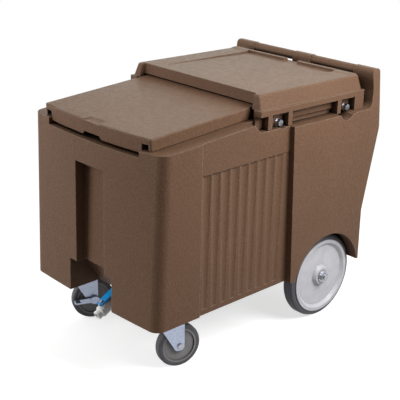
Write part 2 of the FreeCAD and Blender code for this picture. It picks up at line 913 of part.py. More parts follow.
def add_wheel_wells(body):
    """Arched wells for the rear wheels and the bosses that hold the axle."""
    inner = size("wheel_well_inner")
    arch = new_sketch(body, "YZ_Plane", inner)
    circle(arch, front + arch_reach, size("arch_centre_z"), size("arch_radius"))
    arch = pocket(body, arch, side_reach - inner, name="wheel_arch")
    mirror(body, [arch], name="wheel_arch_pair")
    radius = size("axle_boss_radius")
    y = front + wheel_reach
    z = size("rear_wheel_radius")
    boss = new_sketch(body, "YZ_Plane", inner)
    outline(boss, (
        (y - radius, bottom + radius),
        (y - radius, z - radius, radius * 0.9),
        (y + radius, z - radius, radius * 0.9),
        (y + radius, bottom + radius),
    ))
    boss = pad(body, boss, size("axle_boss_width"), along=-1, name="axle_boss")
    mirror(body, [boss], name="axle_boss_pair")
    bore = circle(new_sketch(body, "YZ_Plane"), y, z, size("axle_radius") + running)
    pocket(body, bore, side_reach * 2, both=True, name="axle_bore")


def add_rails(body):
    """Raised rails that carry the lid in its channels."""
    near = size("rail_front")
    far = size("rail_rear")
    rise = lid_underside() - seat - rim_at(ZERO) + overrun
    rail = new_sketch(body, "YZ_Plane", size("rail_inner"))
    outline(rail, (
        (front + near, rim_at(near) - overrun),
        (front + far, rim_at(far) - overrun),
        (front + far, rim_at(far) - overrun + rise),
        (front + near, rim_at(near) - overrun + rise),
    ))
    rail = pad(body, rail, size("rail_width"), name="lid_rail")
    mirror(body, [rail], name="lid_rail_pair")


def lid_underside():
    """Height of the channel roof of the lid, carried forward to the front line."""
    depth = size("lid_channel_depth") / cosine(size("slide_slope"))
    return lid_top - slope * size("lid_front") - depth


def bolt_place(index):
    """Y and Z of a cover bolt: the first or the second along a side."""
    along = size("cover_bolt_first") + bolt_pitch * index
    tilt = size("cover_tilt")
    drop = bolt_depth()
    y = front + size("cover_front") + cosine(tilt) * along - sine(tilt) * drop
    z = cover_top - sine(tilt) * along - cosine(tilt) * drop
    return y, z


def add_fixings(body):
    """Bores for the cover inserts and the caster bolts, and scallops beside the bolts."""
    collar = size("collar_half_width")
    bores = new_sketch(body, "YZ_Plane", collar)
    for index in range(2):
        circle(bores, *bolt_place(index), size("cover_insert_radius") + running)
    bores = pocket(body, bores, size("cover_insert_length"), along=-1, name="insert_bores")
    scallop = new_sketch(body, "YZ_Plane", collar)
    for index in range(2):
        circle(scallop, *bolt_place(index), size("scallop_radius"))
    scallop = pocket(body, scallop, side_reach - collar, name="scallop")
    rear_scallop = new_sketch(body, "YZ_Plane", collar)
    height = shoulder_at(scallop_reach) + size("rear_scallop_rise")
    circle(rear_scallop, front + scallop_reach, height, size("rear_scallop_radius"))
    rear_scallop = pocket(body, rear_scallop, side_reach - collar, name="rear_scallop")
    mirror(body, [bores, scallop, rear_scallop], name="cover_fixing_pair")
    holes = new_sketch(body, "XY_Plane", bottom)
    spread = size("caster_bolt_spread")
    y = front + size("caster_y")
    bolt = size("caster_bolt_radius") + running
    for side in (-1, 1):
        for x_side in (-1, 1):
            circle(holes, size("caster_x") + spread * x_side, y + spread * side, bolt)
    depth = size("caster_bolt_length") - size("caster_plate_thickness")
    holes = pocket(body, holes, depth, name="caster_bolt_holes")
    mirror(body, [holes], name="caster_bolt_hole_pair")


def build_lid():
    """The sliding lid: a bowed, thick plug with side channels that ride on the rails."""
    body = new_body("sliding_lid")
    half = size("lid_half_width")
    leg_inner = half - size("lid_leg_width")
    leg = -size("lid_leg_depth")
    plug = size("lid_plug_half_width")
    low = -size("lid_plug_depth")
    length = size("lid_length")
    radius = size("lid_edge_radius")
    plan = new_sketch(body, "XY_Plane", low)
    bowed_plan(plan, half, ZERO, length, size("lid_bow"), radius)
    slab = pad(body, plan, size("lid_plug_depth"), name="slab")

    def on_top(edge):
        level = all(abs(vertex.Z) < running.value for vertex in edge.Vertexes)
        return level and not all(abs(vertex.Y - length.value) < running.value for vertex in edge.Vertexes)

    round_edges(body, slab, radius * 0.8, on_top, "top_edge_round")
    near = -size("lid_bow") - overrun
    run = length + size("lid_bow") + overrun * 2
    legs = front_box(body, near, leg_inner - running, half + overrun, low - overrun, leg)
    legs = pocket(body, legs, run, name="leg_end")
    channel = front_box(body, near, plug, leg_inner, low - overrun, -size("lid_channel_depth"))
    channel = pocket(body, channel, run, name="rail_channel")
    mirror(body, [legs, channel], name="rail_channel_pair")
    grip = size("finger_notch_half_width")
    rise = size("finger_notch_height")
    notch = new_sketch(body, "XZ_Plane", near)
    outline(notch, (
        (-grip, low - overrun),
        (grip, low - overrun),
        (grip, low),
        (grip - rise, low + rise),
        (rise - grip, low + rise),
        (-grip, low),
    ))
    pocket(body, notch, size("finger_notch_depth") + overrun, name="finger_notch")
    dish = new_sketch(body, "YZ_Plane")
    dish_radius = size("finger_dish_radius")
    circle(dish, -size("finger_dish_y"), dish_radius - size("finger_dish_depth"), dish_radius)
    pocket(body, dish, size("finger_dish_half_width") * 2, both=True, name="finger_dish")
    put(body, ZERO, front + size("lid_front"), lid_top, size("slide_slope"), (1, 0, 0))
    return body


def skirt_depth():
    """Depth of the cover's skirt, just clear of the shoulder."""
    return (size("cover_rise") - seat) * cosine(size("cover_tilt"))


def bolt_depth():
    """Depth of the cover bolts under the top of the cover."""
    return skirt_depth() - size("cover_bolt_rise")


def hood_plan(body, depth, inset):
    """Plan of the bevelled hood at a depth under its top, drawn in by the inset."""
    share = depth / size("cover_ledge_depth")
    top = size("cover_top_half_width")
    half = top + (size("cover_ledge_inner_half_width") - top) * share - inset
    near = inset - size("cover_bevel_front") * share
    far = size("cover_length") + size("cover_bevel_rear") * share - inset
    sketch = new_sketch(body, "XY_Plane", -depth)
    return box_outline(sketch, -half, half, near, far, size("cover_corner_radius"))


def build_cover():
    """The rear cover: a bevelled hood with a ledge, ribbed side skirts and a recessed top."""
    body = new_body("rear_cover")
    length = size("cover_length")
    ledge = -size("cover_ledge_depth")
    under = ledge - size("cover_ledge_thickness")
    skirt = -skirt_depth()
    near = -size("cover_ledge_reach_front")
    far = length + size("cover_ledge_reach_rear")
    edge = size("cover_top_radius")
    levels = (
        (size("cover_ledge_depth"), ZERO),
        (edge, ZERO),
        (edge * EDGE_STEP_SHARE, edge * EDGE_STEP_SHARE),
        (ZERO, edge),
    )
    for low, high_level in zip(levels, levels[1:]):
        loft("Additive", body, hood_plan(body, *low), hood_plan(body, *high_level), "hood")
    outer = size("cover_ledge_half_width")
    ring = box_outline(new_sketch(body, "XY_Plane", ledge), -outer, outer, near, far)
    pad(body, ring, ledge - skirt, along=-1, name="ledge_and_skirt")
    cut_skirt_windows(body, skirt, under, near, far)
    hollow_cover(body, skirt, under, near, far)
    crest = recess_end
    rim = new_sketch(body, "YZ_Plane")
    outline(rim, (
        (crest - size("rear_rim_slope"), ZERO),
        (crest, size("rear_rim_rise")),
        (crest + size("rear_rim_width"), size("rear_rim_rise")),
        (length, ZERO),
    ))
    pad(body, rim, (size("cover_top_half_width") - edge) * 2, both=True, name="rear_rim")
    recess = new_sketch(body, "YZ_Plane")
    outline(recess, (
        (size("recess_start"), -size("recess_depth_front")),
        (recess_end, -size("recess_depth")),
        (recess_end, overrun),
        (size("recess_start"), overrun),
    ))
    pocket(body, recess, size("recess_half_width") * 2, both=True, name="top_recess")
    spill = new_sketch(body, "XY_Plane", overrun)
    box_outline(spill, -size("spill_notch_half_width"), size("spill_notch_half_width"),
                recess_end - overrun, far + overrun)
    pocket(body, spill, size("recess_depth") + overrun, along=-1, name="spill_notch")
    holes = new_sketch(body, "YZ_Plane")
    for index in range(2):
        along = size("cover_bolt_first") + bolt_pitch * index
        circle(holes, along, -bolt_depth(), size("cover_bolt_radius") + seat)
    pocket(body, holes, side_reach * 2, both=True, name="bolt_holes")
    put(body, ZERO, front + size("cover_front"), cover_top, -size("cover_tilt"), (1, 0, 0))
    return body


def cut_skirt_windows(body, skirt, under, near, far):
    """Opens the pockets between the ribs and the gap under the long pocket."""
    rib = size("rib_width")
    windows = (
        (near - overrun, size("rib_a_start")),
        (size("rib_a_start") + rib, size("rib_b_start")),
        (size("rib_b_start") + rib, rib_c_start),
        (rib_c_start + rib, rib_d_start),
    )
    sketch = new_sketch(body, "YZ_Plane", size("cover_skirt_outer"))
    for start, end in windows:
        box_outline(sketch, start, end, skirt - overrun, under)
    outer = pocket(body, sketch, overrun * 2, name="skirt_windows")
    lip = new_sketch(body, "YZ_Plane", size("cover_skirt_inner") - size("cover_rear_wall_thickness"))
    box_outline(lip, *windows[2], skirt - overrun, skirt + size("long_window_lip"))
    lip = pocket(body, lip, overrun * 2, name="long_window_lip")
    mirror(body, [outer, lip], name="skirt_window_pair")


def hollow_cover(body, skirt, under, near, far):
    """Hollows the hood, sets its front wall back and opens it for the lid."""
    inner = size("cover_skirt_inner")
    inset = size("cover_front_inset")
    wall = inset + size("cover_front_wall_thickness")
    back = size("cover_length") - size("cover_rear_wall_thickness")
    ledge = -size("cover_ledge_depth")
    roof = -size("recess_depth") - size("cover_roof_thickness")
    roof_front = -size("recess_depth_front") - size("cover_roof_thickness")
    room = new_sketch(body, "YZ_Plane")
    outline(room, (
        (near - overrun, skirt - overrun),
        (back, skirt - overrun),
        (back, roof),
        (wall, roof_front),
        (wall, ledge),
        (near - overrun, ledge),
    ))
    pocket(body, room, inner * 2, both=True, name="hollow")
    mouth = size("cover_inset_half_width")
    lip = -size("cover_front_wall_depth")
    opening = front_box(body, near - overrun, -mouth, mouth, skirt - overrun, lip)
    pocket(body, opening, wall - near + overrun, name="mouth")
    setback = new_sketch(body, "XY_Plane", overrun)
    radius = size("cover_inset_radius")
    outline(setback, (
        (-mouth, near - overrun),
        (mouth, near - overrun),
        (mouth, inset, radius),
        (-mouth, inset, radius),
    ))
    pocket(body, setback, overrun - ledge, along=-1, name="front_setback")


def turned(label, profile):
    """A body turned about its own X axis from an axial section."""
    body = new_body(label)
    revolve(body, outline(new_sketch(body, "XY_Plane"), profile))
    return body


def spun(label, profile):
    """A body turned about its own Z axis from an axial section."""
    body = new_body(label)
    spin(body, outline(new_sketch(body, "XZ_Plane"), profile))
    return body


def rod_profile(start, end, radius):
    """Axial section of a plain rod."""
    return ((start, ZERO), (end, ZERO), (end, radius), (start, radius))


def tube_profile(start, end, inner, outer):
    """Axial section of a plain tube."""
    return ((start, inner), (end, inner), (end, outer), (start, outer))


def place_wheel(item, side):
    """Puts a rear wheel piece on the axle, its outer face outward."""
    x = size("rear_wheel_x") * side
    turn = ZERO if side > 0 else Size(180, "180")
    return put(item, x, front + wheel_reach, size("rear_wheel_radius"), turn)


def build_rear_wheels():
    """A tyre, a dished hub and a bush for each rear wheel."""
    half = size("tyre_width") / 2
    seat_radius = size("tyre_seat_radius")
    outer = size("rear_wheel_radius")
    shoulder = size("tyre_shoulder_radius")
    step = shoulder * TREAD_STEP_SHARE
    web = size("hub_web_face")
    ring = size("hub_ring_face")
    inner_ring = size("hub_ring_inner_radius")
    base = size("hub_boss_base_radius")
    top = size("hub_boss_top_radius")
    bush = size("wheel_bush_radius")
    for label, side in SIDES:
        tyre = turned("rear_tyre_" + label, (
            (-half, seat_radius),
            (half, seat_radius),
            (half, outer - shoulder),
            (half - step, outer - step),
            (half - shoulder, outer),
            (shoulder - half, outer),
            (step - half, outer - step),
            (-half, outer - shoulder),
        ))
        place_wheel(tyre, side)
        hub = turned("rear_hub_" + label, (
            (-size("hub_boss_back"), bush),
            (size("hub_boss_face"), bush),
            (size("hub_boss_face"), top),
            (web, base),
            (web, inner_ring - (ring - web)),
            (ring, inner_ring),
            (ring, seat_radius),
            (-size("hub_back_ring"), seat_radius),
            (-size("hub_back_ring"), inner_ring),
            (size("hub_web_back"), inner_ring - (ring - web)),
            (size("hub_web_back"), base),
            (-size("hub_boss_back"), top),
        ))
        place_wheel(hub, side)
        sleeve = tube_profile(-size("hub_boss_back"), size("hub_boss_face"), size("axle_radius") + running, bush)
        place_wheel(turned("rear_bush_" + label, sleeve), side)


def pair(label, builder):
    """One node of two mirrored solids, made by the builder for the right side."""
    node = doc.addObject("Part::Compound", label)
    node.Label = label
    node.Links = [builder(side) for name, side in SIDES]
    return node


def tube(name, start, end, inner, outer, side, y, z):
    """A plain tube along X, from start to end away from the centre plane."""
    length = end - start
    solid = doc.addObject("Part::Cylinder", name)
    solid.setExpression("Radius", outer.formula)
    solid.setExpression("Height", length.formula)
    hole = doc.addObject("Part::Cylinder", name + "_bore")
    hole.setExpression("Radius", inner.formula)
    hole.setExpression("Height", length.formula)
    for item in (solid, hole):
        item.Placement = FreeCAD.Placement(FreeCAD.Vector(), FreeCAD.Rotation(FreeCAD.Vector(0, 1, 0), 90 * side))
        put(item, start * side, y, z)
    cut = doc.addObject("Part::Cut", name + "_tube")
    cut.Base = solid
    cut.Tool = hole
    return cut


def build_axle():
    """The through axle with its spacers, washers and nuts."""
    y = front + wheel_reach
    z = size("rear_wheel_radius")
    centre = size("rear_wheel_x")
    outer_face = centre + size("hub_boss_face") + seat
    inner_face = centre - size("hub_boss_back") - seat
    washer_end = outer_face + size("axle_washer_thickness")
    nut_end = washer_end + size("axle_nut_thickness")
    tip = nut_end + size("axle_end") / 4
    radius = size("axle_radius")
    axle = turned("axle", rod_profile(-tip, tip, radius))
    put(axle, ZERO, y, z)

    def spacer(side):
        return tube("spacer", size("wheel_well_inner"), inner_face, radius, size("axle_spacer_radius"), side, y, z)

    def washer(side):
        return tube("washer", outer_face, washer_end, radius, size("axle_washer_radius"), side, y, z)

    def nut(side):
        body = new_body("axle_nut_part")
        hexagon(new_sketch(body, "YZ_Plane"), ZERO, ZERO, size("axle_nut_across_flats"))
        pad(body, body.Group[-1], size("axle_nut_thickness"), along=side)
        bore = circle(new_sketch(body, "YZ_Plane"), ZERO, ZERO, radius)
        pocket(body, bore, size("axle_nut_thickness"), along=side)
        return put(body, washer_end * side, y, z)

    pair("axle_spacers", spacer)
    pair("axle_washers", washer)
    pair("axle_nuts", nut)


def place_caster(item, side, swivel=True, forward=ZERO, height=ZERO):
    """Puts a caster piece on its kingpin line, turned with the fork when swivel is set."""
    turn = size("caster_swivel_right") if side > 0 else size("caster_swivel_left")
    turn = -turn
    x = size("caster_x") * side
    y = front + size("caster_y")
    if not swivel:
        return put(item, x, y, height)
    x = x - sine(turn) * forward
    y = y + cosine(turn) * forward
    return put(item, x, y, height, turn)


def build_casters():
    """Both front casters; the left one also has a foot brake."""
    for label, side in SIDES:
        build_caster_top(label, side)
        build_fork(label, side)
        build_caster_wheel(label, side)
    build_brake()


def build_caster_top(label, side):
    """Plate, race, bearing ring and kingpin of a caster."""
    plate_low = bottom - seat - size("caster_plate_thickness")
    half = size("caster_plate_size") / 2
    plate = new_body("caster_plate_" + label)
    sketch = new_sketch(plate, "XY_Plane")
    box_outline(sketch, -half, half, -half, half, size("caster_plate_corner"))
    pad(plate, sketch, size("caster_plate_thickness"), name="plate")
    spread = size("caster_bolt_spread")
    holes = new_sketch(plate, "XY_Plane")
    circle(holes, ZERO, ZERO, size("kingpin_radius") + running)
    for x_side in (-1, 1):
        for y_side in (-1, 1):
            circle(holes, spread * x_side, spread * y_side, size("caster_bolt_radius") + running)
    pocket(plate, holes, size("caster_plate_thickness"), name="holes")
    place_caster(plate, side, False, height=plate_low)
    race_low = plate_low - size("race_height")
    outer = size("race_radius")
    pin = size("kingpin_radius")
    race = spun("caster_race_" + label, (
        (pin + running, ZERO),
        (outer - size("bearing_height"), ZERO),
        (outer, size("bearing_height")),
        (outer, size("race_height")),
        (pin + running, size("race_height")),
    ))
    place_caster(race, side, False, height=race_low)
    ring_low = race_low - size("bearing_height")
    ring_outer = outer - size("bearing_height")
    ring = spun("caster_bearing_" + label, (
        (ring_outer - size("bearing_ring_width"), ZERO),
        (ring_outer, ZERO),
        (ring_outer, size("bearing_height")),
        (ring_outer - size("bearing_ring_width"), size("bearing_height")),
    ))
    place_caster(ring, side, False, height=ring_low)
    pin_low = ring_low - seat * 2 - size("fork_plate_thickness") - size("kingpin_head_thickness")
    head = size("kingpin_head_thickness")
    kingpin = spun("kingpin_" + label, (
        (ZERO, ZERO),
        (size("kingpin_head_radius"), ZERO),
        (size("kingpin_head_radius"), head),
        (pin, head),
        (pin, plate_low + size("caster_plate_thickness") - pin_low),
        (ZERO, plate_low + size("caster_plate_thickness") - pin_low),
    ))
    place_caster(kingpin, side, False, height=pin_low)


def fork_top():
    """Height of the top of the fork crown."""
    plate_low = bottom - seat - size("caster_plate_thickness")
    return plate_low - size("race_height") - size("bearing_height") - seat


def build_fork(label, side):
    """The stamped fork: a round crown and two tapered legs down to the wheel bolt."""
    body = new_body("caster_fork_" + label)
    top = fork_top()
    low = top - size("fork_plate_thickness")
    crown = circle(new_sketch(body, "XY_Plane", low), ZERO, ZERO, size("fork_crown_radius"))
    pad(body, crown, size("fork_plate_thickness"), name="crown")
    inner = size("caster_hub_width") / 2 + seat
    thickness = size("fork_leg_thickness")
    foot = size("fork_leg_foot_radius")
    axle = size("caster_wheel_radius")
    trail = size("caster_trail")
    half = size("fork_leg_top")
    leg = new_sketch(body, "YZ_Plane", inner)
    outline(leg, (
        (-half, top),
        (-half, low - thickness * 2),
        (trail - foot, axle - foot, foot * 0.9),
        (trail + foot, axle - foot, foot * 0.9),
        (trail + foot, low - thickness * 2),
        (half, top),
    ))
    leg = pad(body, leg, thickness, name="leg")
    mirror(body, [leg], name="legs")
    clear = circle(new_sketch(body, "XY_Plane", top), ZERO, ZERO, size("kingpin_radius") + running)
    pocket(body, clear, size("fork_plate_thickness"), along=-1, name="pin_hole")
    bore = circle(new_sketch(body, "YZ_Plane"), trail, axle, size("caster_axle_radius") + running)
    pocket(body, bore, (inner + thickness) * 2, both=True, name="axle_hole")
    place_caster(body, side)


def build_caster_wheel(label, side):
    """Tread, core, bush and axle bolt of a caster wheel."""
    half = size("caster_tread_width") / 2
    radius = size("caster_wheel_radius")
    core = size("caster_core_radius")
    trail = size("caster_trail")
    curve = size("caster_tread_round")
    tread = turned("caster_tread_" + label, (
        (-half, core),
        (half, core),
        (half, radius - curve),
        (half - curve * TREAD_STEP_SHARE, radius - curve * TREAD_STEP_SHARE),
        (half - curve, radius),
        (curve - half, radius),
        (curve * TREAD_STEP_SHARE - half, radius - curve * TREAD_STEP_SHARE),
        (-half, radius - curve),
    ))
    web = size("caster_core_web")
    rim = core - size("caster_core_rim")
    hub_half = size("caster_hub_width") / 2
    hub = size("caster_hub_radius")
    bush = size("caster_bush_radius")
    wheel = turned("caster_core_" + label, (
        (-hub_half, bush),
        (hub_half, bush),
        (hub_half, hub),
        (web, hub),
        (web, rim),
        (half, rim),
        (half, core),
        (-half, core),
        (-half, rim),
        (-web, rim),
        (-web, hub),
        (-hub_half, hub),
    ))
    bolt_radius = size("caster_axle_radius")
    sleeve = turned("caster_bush_" + label, tube_profile(-hub_half, hub_half, bolt_radius + running, bush))
    outer = hub_half + seat + size("fork_leg_thickness")
    head = size("caster_axle_head")
    end = outer + size("caster_axle_head_thickness")
    bolt = new_body("caster_axle_" + label)
    shank = outline(new_sketch(bolt, "XY_Plane"), rod_profile(-end, end, bolt_radius))
    revolve(bolt, shank, "shank")
    for along in (-1, 1):
        face = hexagon(new_sketch(bolt, "YZ_Plane", outer * along), ZERO, ZERO, head * 2)
        pad(bolt, face, size("caster_axle_head_thickness"), along=along, name="hex_head")
    for item in (tread, wheel, sleeve, bolt):
        place_caster(item, side, forward=trail, height=radius)


def build_brake():
    """The foot brake of the left caster, a lever on the end of its axle bolt."""
    body = new_body("brake_lever")
    start = size("caster_hub_width") / 2 + seat * 2 + size("fork_leg_thickness")
    start = start + size("caster_axle_head_thickness")
    half = size("brake_arm_width") / 2
    length = size("brake_arm_length")
    arm = new_sketch(body, "YZ_Plane", start)
    box_outline(arm, -length, half * 2, -half, half, half * 0.9)
    pad(body, arm, size("brake_arm_thickness"), name="arm")
    pedal = new_sketch(body, "YZ_Plane", start)
    step = size("brake_arm_thickness")
    box_outline(pedal, -length, -length + half * 2, half - step, half)
    pad(body, pedal, size("brake_pedal_width"), name="pedal")
    boss = circle(new_sketch(body, "YZ_Plane", start), ZERO, ZERO, size("brake_hub_radius"))
    pad(body, boss, size("brake_arm_thickness") * 2, name="boss")
    place_caster(body, -1, forward=size("caster_trail"), height=size("caster_wheel_radius"))


def build_caster_bolts():
    """Eight bolts that hold the caster plates under the tub."""
    plate_low = bottom - seat - size("caster_plate_thickness")
    spread = size("caster_bolt_spread")
    parts = []
    for label, side in SIDES:
        for x_side in (-1, 1):
            for y_side in (-1, 1):
                x = size("caster_x") * side + spread * x_side
                y = front + size("caster_y") + spread * y_side
                parts.append(bolt_solid(x, y, plate_low))
    node = doc.addObject("Part::Compound", "caster_bolts")
    node.Label = "caster_bolts"
    node.Links = parts


def bolt_solid(x, y, z):
    """One upright hex bolt with its head under the height z."""
    head = doc.addObject("Part::Prism", "bolt_head")
    head.Polygon = 6
    head.setExpression("Circumradius", size("caster_bolt_head").formula)
    head.setExpression("Height", size("caster_bolt_head_thickness").formula)
    put(head, x, y, z - size("caster_bolt_head_thickness"))
    shank = doc.addObject("Part::Cylinder", "bolt_shank")
    shank.setExpression("Radius", size("caster_bolt_radius").formula)
    shank.setExpression("Height", size("caster_bolt_length").formula)
    put(shank, x, y, z)
    bolt = doc.addObject("Part::Fuse", "bolt")
    bolt.Base = head
    bolt.Tool = shank
    return bolt


def build_cover_fixings():
    """Bolts, washers and threaded inserts that hold the rear cover."""
    bolts = []
    washers = []
    inserts = []
    face = size("cover_skirt_outer")
    collar = size("collar_half_width")
    washer = size("cover_bolt_washer_thickness")
    radius = size("cover_bolt_radius")
    for label, side in SIDES:
        for index in range(2):
            y, z = bolt_place(index)
            washers.append(tube("cover_washer", face, face + washer, radius,
                                size("cover_bolt_washer_radius"), side, y, z))
            inserts.append(tube("cover_insert", collar - size("cover_insert_length"), collar, radius,
                                size("cover_insert_radius"), side, y, z))
            bolts.append(cover_bolt(face + washer, side, y, z))
    for label, parts in (("cover_bolts", bolts), ("cover_washers", washers), ("cover_inserts", inserts)):
        node = doc.addObject("Part::Compound", label)
        node.Label = label
        node.Links = parts


def cover_bolt(face, side, y, z):
    """One hex bolt that lies along X, its head outside the face."""
    body = new_body("cover_bolt_part")
    head = new_sketch(body, "YZ_Plane")
    hexagon(head, ZERO, ZERO, size("cover_bolt_head") * 2)
    pad(body, head, size("cover_bolt_head_thickness"), along=side, name="head")
    shank = circle(new_sketch(body, "YZ_Plane"), ZERO, ZERO, size("cover_bolt_radius"))
    pad(body, shank, size("cover_bolt_length"), along=-side, name="shank")
    return put(body, face * side, y, z)


def build_handle_bar():
    """The round bar across the posts."""
    end = size("post_inner") + size("handle_socket_depth")
    bar = turned("handle_bar", rod_profile(-end, end, size("handle_bar_radius")))
    put(bar, ZERO, front + bar_middle, bar_height)


def build_shelf():
    """The lift-out drain shelf that holds the ice above the melt water."""
    body = new_body("drain_shelf")
    gap = size("shelf_gap")
    half = size("well_half_width") - gap
    near = front + size("well_front") + gap
    far = front + well_rear - gap
    height = size("shelf_height")
    plate = new_sketch(body, "XY_Plane", height)
    box_outline(plate, -half, half, near, far, size("well_corner_radius") - gap)
    pad(body, plate, size("shelf_thickness"), name="plate")
    inset = size("well_corner_radius") + gap
    feet = new_sketch(body, "XY_Plane")
    for x in (-half + inset, half - inset):
        for y in (near + inset, far - inset):
            circle(feet, x, y, size("shelf_foot_radius"))
    pad(body, feet, height, name="feet")
    across = size("shelf_slots_across")
    along = size("shelf_slots_along")
    pitch_across = size("shelf_slot_pitch_across")
    pitch_along = size("shelf_slot_pitch_along")
    x = -pitch_across * (across - 1) / 2
    y = (near + far) / 2 - pitch_along * (along - 1) / 2
    slot_length = size("shelf_slot_length") / 2
    slot_width = size("shelf_slot_width") / 2
    hole = new_sketch(body, "XY_Plane", height + size("shelf_thickness"))
    box_outline(hole, x - slot_length, x + slot_length, y - slot_width, y + slot_width)
    hole = pocket(body, hole, size("shelf_thickness"), along=-1, name="slot")
    columns = make_pattern(body, "X_Axis", pitch_across, across)
    rows = make_pattern(body, "Y_Axis", pitch_along, along)
    grid(body, hole, [columns, rows], "slots")
    put(body, ZERO, ZERO, bottom + size("well_floor_height") + seat)


def place_tap(item):
    """Puts a tap piece, drawn with its outlet along -Y, at the root of the tap."""
    turn = size("tap_angle")
    return put(item, size("tap_x"), front + size("tap_root_y"), bottom + size("tap_root_height"), turn, (1, 0, 0))


def build_tap():
    """The drain tap: body with shank and nozzle, gasket, stem, lever and its screw."""
    gasket_face = -size("tap_gasket_thickness")
    flange_face = gasket_face - size("tap_flange_thickness")
    stem_y = -size("tap_stem_at")
    half_body = size("tap_body_length") / 2
    tip = -size("tap_length")
    shank = size("tap_shank_length")
    bore = size("tap_bore_radius")
    neck = size("tap_neck_radius")
    wide = size("tap_body_radius")
    tap = new_body("drain_tap")
    section = outline(new_sketch(tap, "YZ_Plane"), (
        (shank, bore),
        (shank, size("tap_shank_radius")),
        (gasket_face, size("tap_shank_radius")),
        (gasket_face, size("tap_flange_radius")),
        (flange_face, size("tap_flange_radius")),
        (flange_face, neck),
        (stem_y + half_body, neck),
        (stem_y + half_body - (wide - neck), wide),
        (stem_y - half_body + (wide - neck), wide),
        (stem_y - half_body, size("tap_nozzle_radius")),
        (tip + size("tap_nozzle_chamfer"), size("tap_nozzle_radius")),
        (tip, size("tap_nozzle_radius") - size("tap_nozzle_chamfer")),
        (tip, bore),
    ))
    revolve(tap, section, "tap_casting")
    boss = circle(new_sketch(tap, "XY_Plane", bore), ZERO, stem_y, size("tap_stem_boss_radius"))
    pad(tap, boss, size("tap_stem_boss_height") - bore, name="stem_boss")
    plug = circle(new_sketch(tap, "XY_Plane"), ZERO, stem_y, size("tap_stem_radius") + running)
    pocket(tap, plug, size("tap_stem_boss_height") * 2, both=True, name="stem_bore")
    place_tap(tap)
    build_tap_fittings(stem_y, gasket_face)


def build_tap_fittings(stem_y, gasket_face):
    """Gasket, stem, lever and screw of the tap."""
    gasket = new_body("tap_gasket")
    section = tube_profile(gasket_face, ZERO, size("tap_shank_radius"), size("tap_flange_radius"))
    revolve(gasket, outline(new_sketch(gasket, "YZ_Plane"), section))
    place_tap(gasket)
    stem = new_body("tap_stem")
    stem_top = size("tap_stem_boss_height") + size("tap_stem_rise")
    stem_sketch = circle(new_sketch(stem, "XY_Plane", -size("tap_body_radius") + size("tap_flange_thickness")),
                         ZERO, stem_y, size("tap_stem_radius"))
    pad(stem, stem_sketch, stem_top + size("tap_body_radius") - size("tap_flange_thickness"), name="stem")
    waterway = circle(new_sketch(stem, "XZ_Plane", stem_y), ZERO, ZERO, size("tap_stem_radius") * 0.6)
    pocket(stem, waterway, size("tap_stem_radius") * 4, both=True, name="waterway")
    screw_bore = circle(new_sketch(stem, "XY_Plane", stem_top), ZERO, stem_y, size("tap_screw_radius"))
    pocket(stem, screw_bore, size("tap_stem_rise") * 2, along=-1, name="screw_bore")
    place_tap(stem)
    lever_low = size("tap_stem_boss_height") + seat
    half = size("tap_lever_width") / 2
    lever = new_body("tap_lever")
    plan = new_sketch(lever, "XY_Plane", lever_low)
    box_outline(plan, -half, half, stem_y - half, stem_y + size("tap_lever_length"), half * 0.9)
    paddle = pad(lever, plan, size("tap_lever_thickness"), name="paddle")
    socket = circle(new_sketch(lever, "XY_Plane", lever_low), ZERO, stem_y, size("tap_stem_radius"))
    pocket(lever, socket, size("tap_stem_rise") - seat, name="stem_socket")
    through = circle(new_sketch(lever, "XY_Plane", lever_low), ZERO, stem_y, size("tap_screw_radius"))
    pocket(lever, through, size("tap_lever_thickness"), name="screw_hole")
    place_tap(lever)
    screw_head = lever_low + size("tap_lever_thickness")
    screw = new_body("lever_screw")
    shank = circle(new_sketch(screw, "XY_Plane", stem_top - size("tap_stem_rise") * 2), ZERO, stem_y,
                   size("tap_screw_radius"))
    pad(screw, shank, screw_head - stem_top + size("tap_stem_rise") * 2, name="shank")
    head = circle(new_sketch(screw, "XY_Plane", screw_head), ZERO, stem_y, size("tap_screw_head_radius"))
    pad(screw, head, size("tap_screw_head_height"), name="head")
    place_tap(screw)


def write_parts():
    """Checks every object and writes one file for each sub-part."""
    doc.recompute()
    for item in doc.Objects:
        if "Invalid" in item.State or "Error" in item.State:
            raise RuntimeError("%s is not built: %s" % (item.Name, item.State))
    used = set()
    for item in doc.Objects:
        if item.TypeId in ("Part::Compound", "Part::Cut", "Part::Fuse"):
            used.update(part.Name for part in item.OutList)
    os.makedirs("parts", exist_ok=True)
    for item in doc.Objects:
        whole = item.TypeId in ("PartDesign::Body", "Part::Compound", "Part::Feature")
        if not whole or item.Name in used:
            continue
        if item.Shape.isNull() or not item.Shape.isValid():
            raise RuntimeError("%s has no valid shape" % item.Label)
        item.Shape.exportStep("parts/%s.step" % item.Label)
        print("%-24s solids %d volume %.0f" % (item.Label, len(item.Shape.Solids), item.Shape.Volume))


build_tub()
build_lid()
build_cover()
build_cover_fixings()
build_handle_bar()
build_shelf()
build_tap()
build_rear_wheels()
build_axle()
build_casters()
build_caster_bolts()
write_parts()
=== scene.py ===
import math

import bpy
from mathutils import Matrix, Vector

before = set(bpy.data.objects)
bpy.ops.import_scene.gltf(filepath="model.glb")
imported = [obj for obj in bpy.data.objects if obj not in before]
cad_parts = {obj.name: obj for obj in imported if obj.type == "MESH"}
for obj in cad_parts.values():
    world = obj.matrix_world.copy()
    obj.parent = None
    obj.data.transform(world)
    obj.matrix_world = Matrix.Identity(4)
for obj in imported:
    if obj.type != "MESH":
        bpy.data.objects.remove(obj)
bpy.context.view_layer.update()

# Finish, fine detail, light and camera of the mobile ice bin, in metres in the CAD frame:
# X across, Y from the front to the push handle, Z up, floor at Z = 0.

MM = 0.001

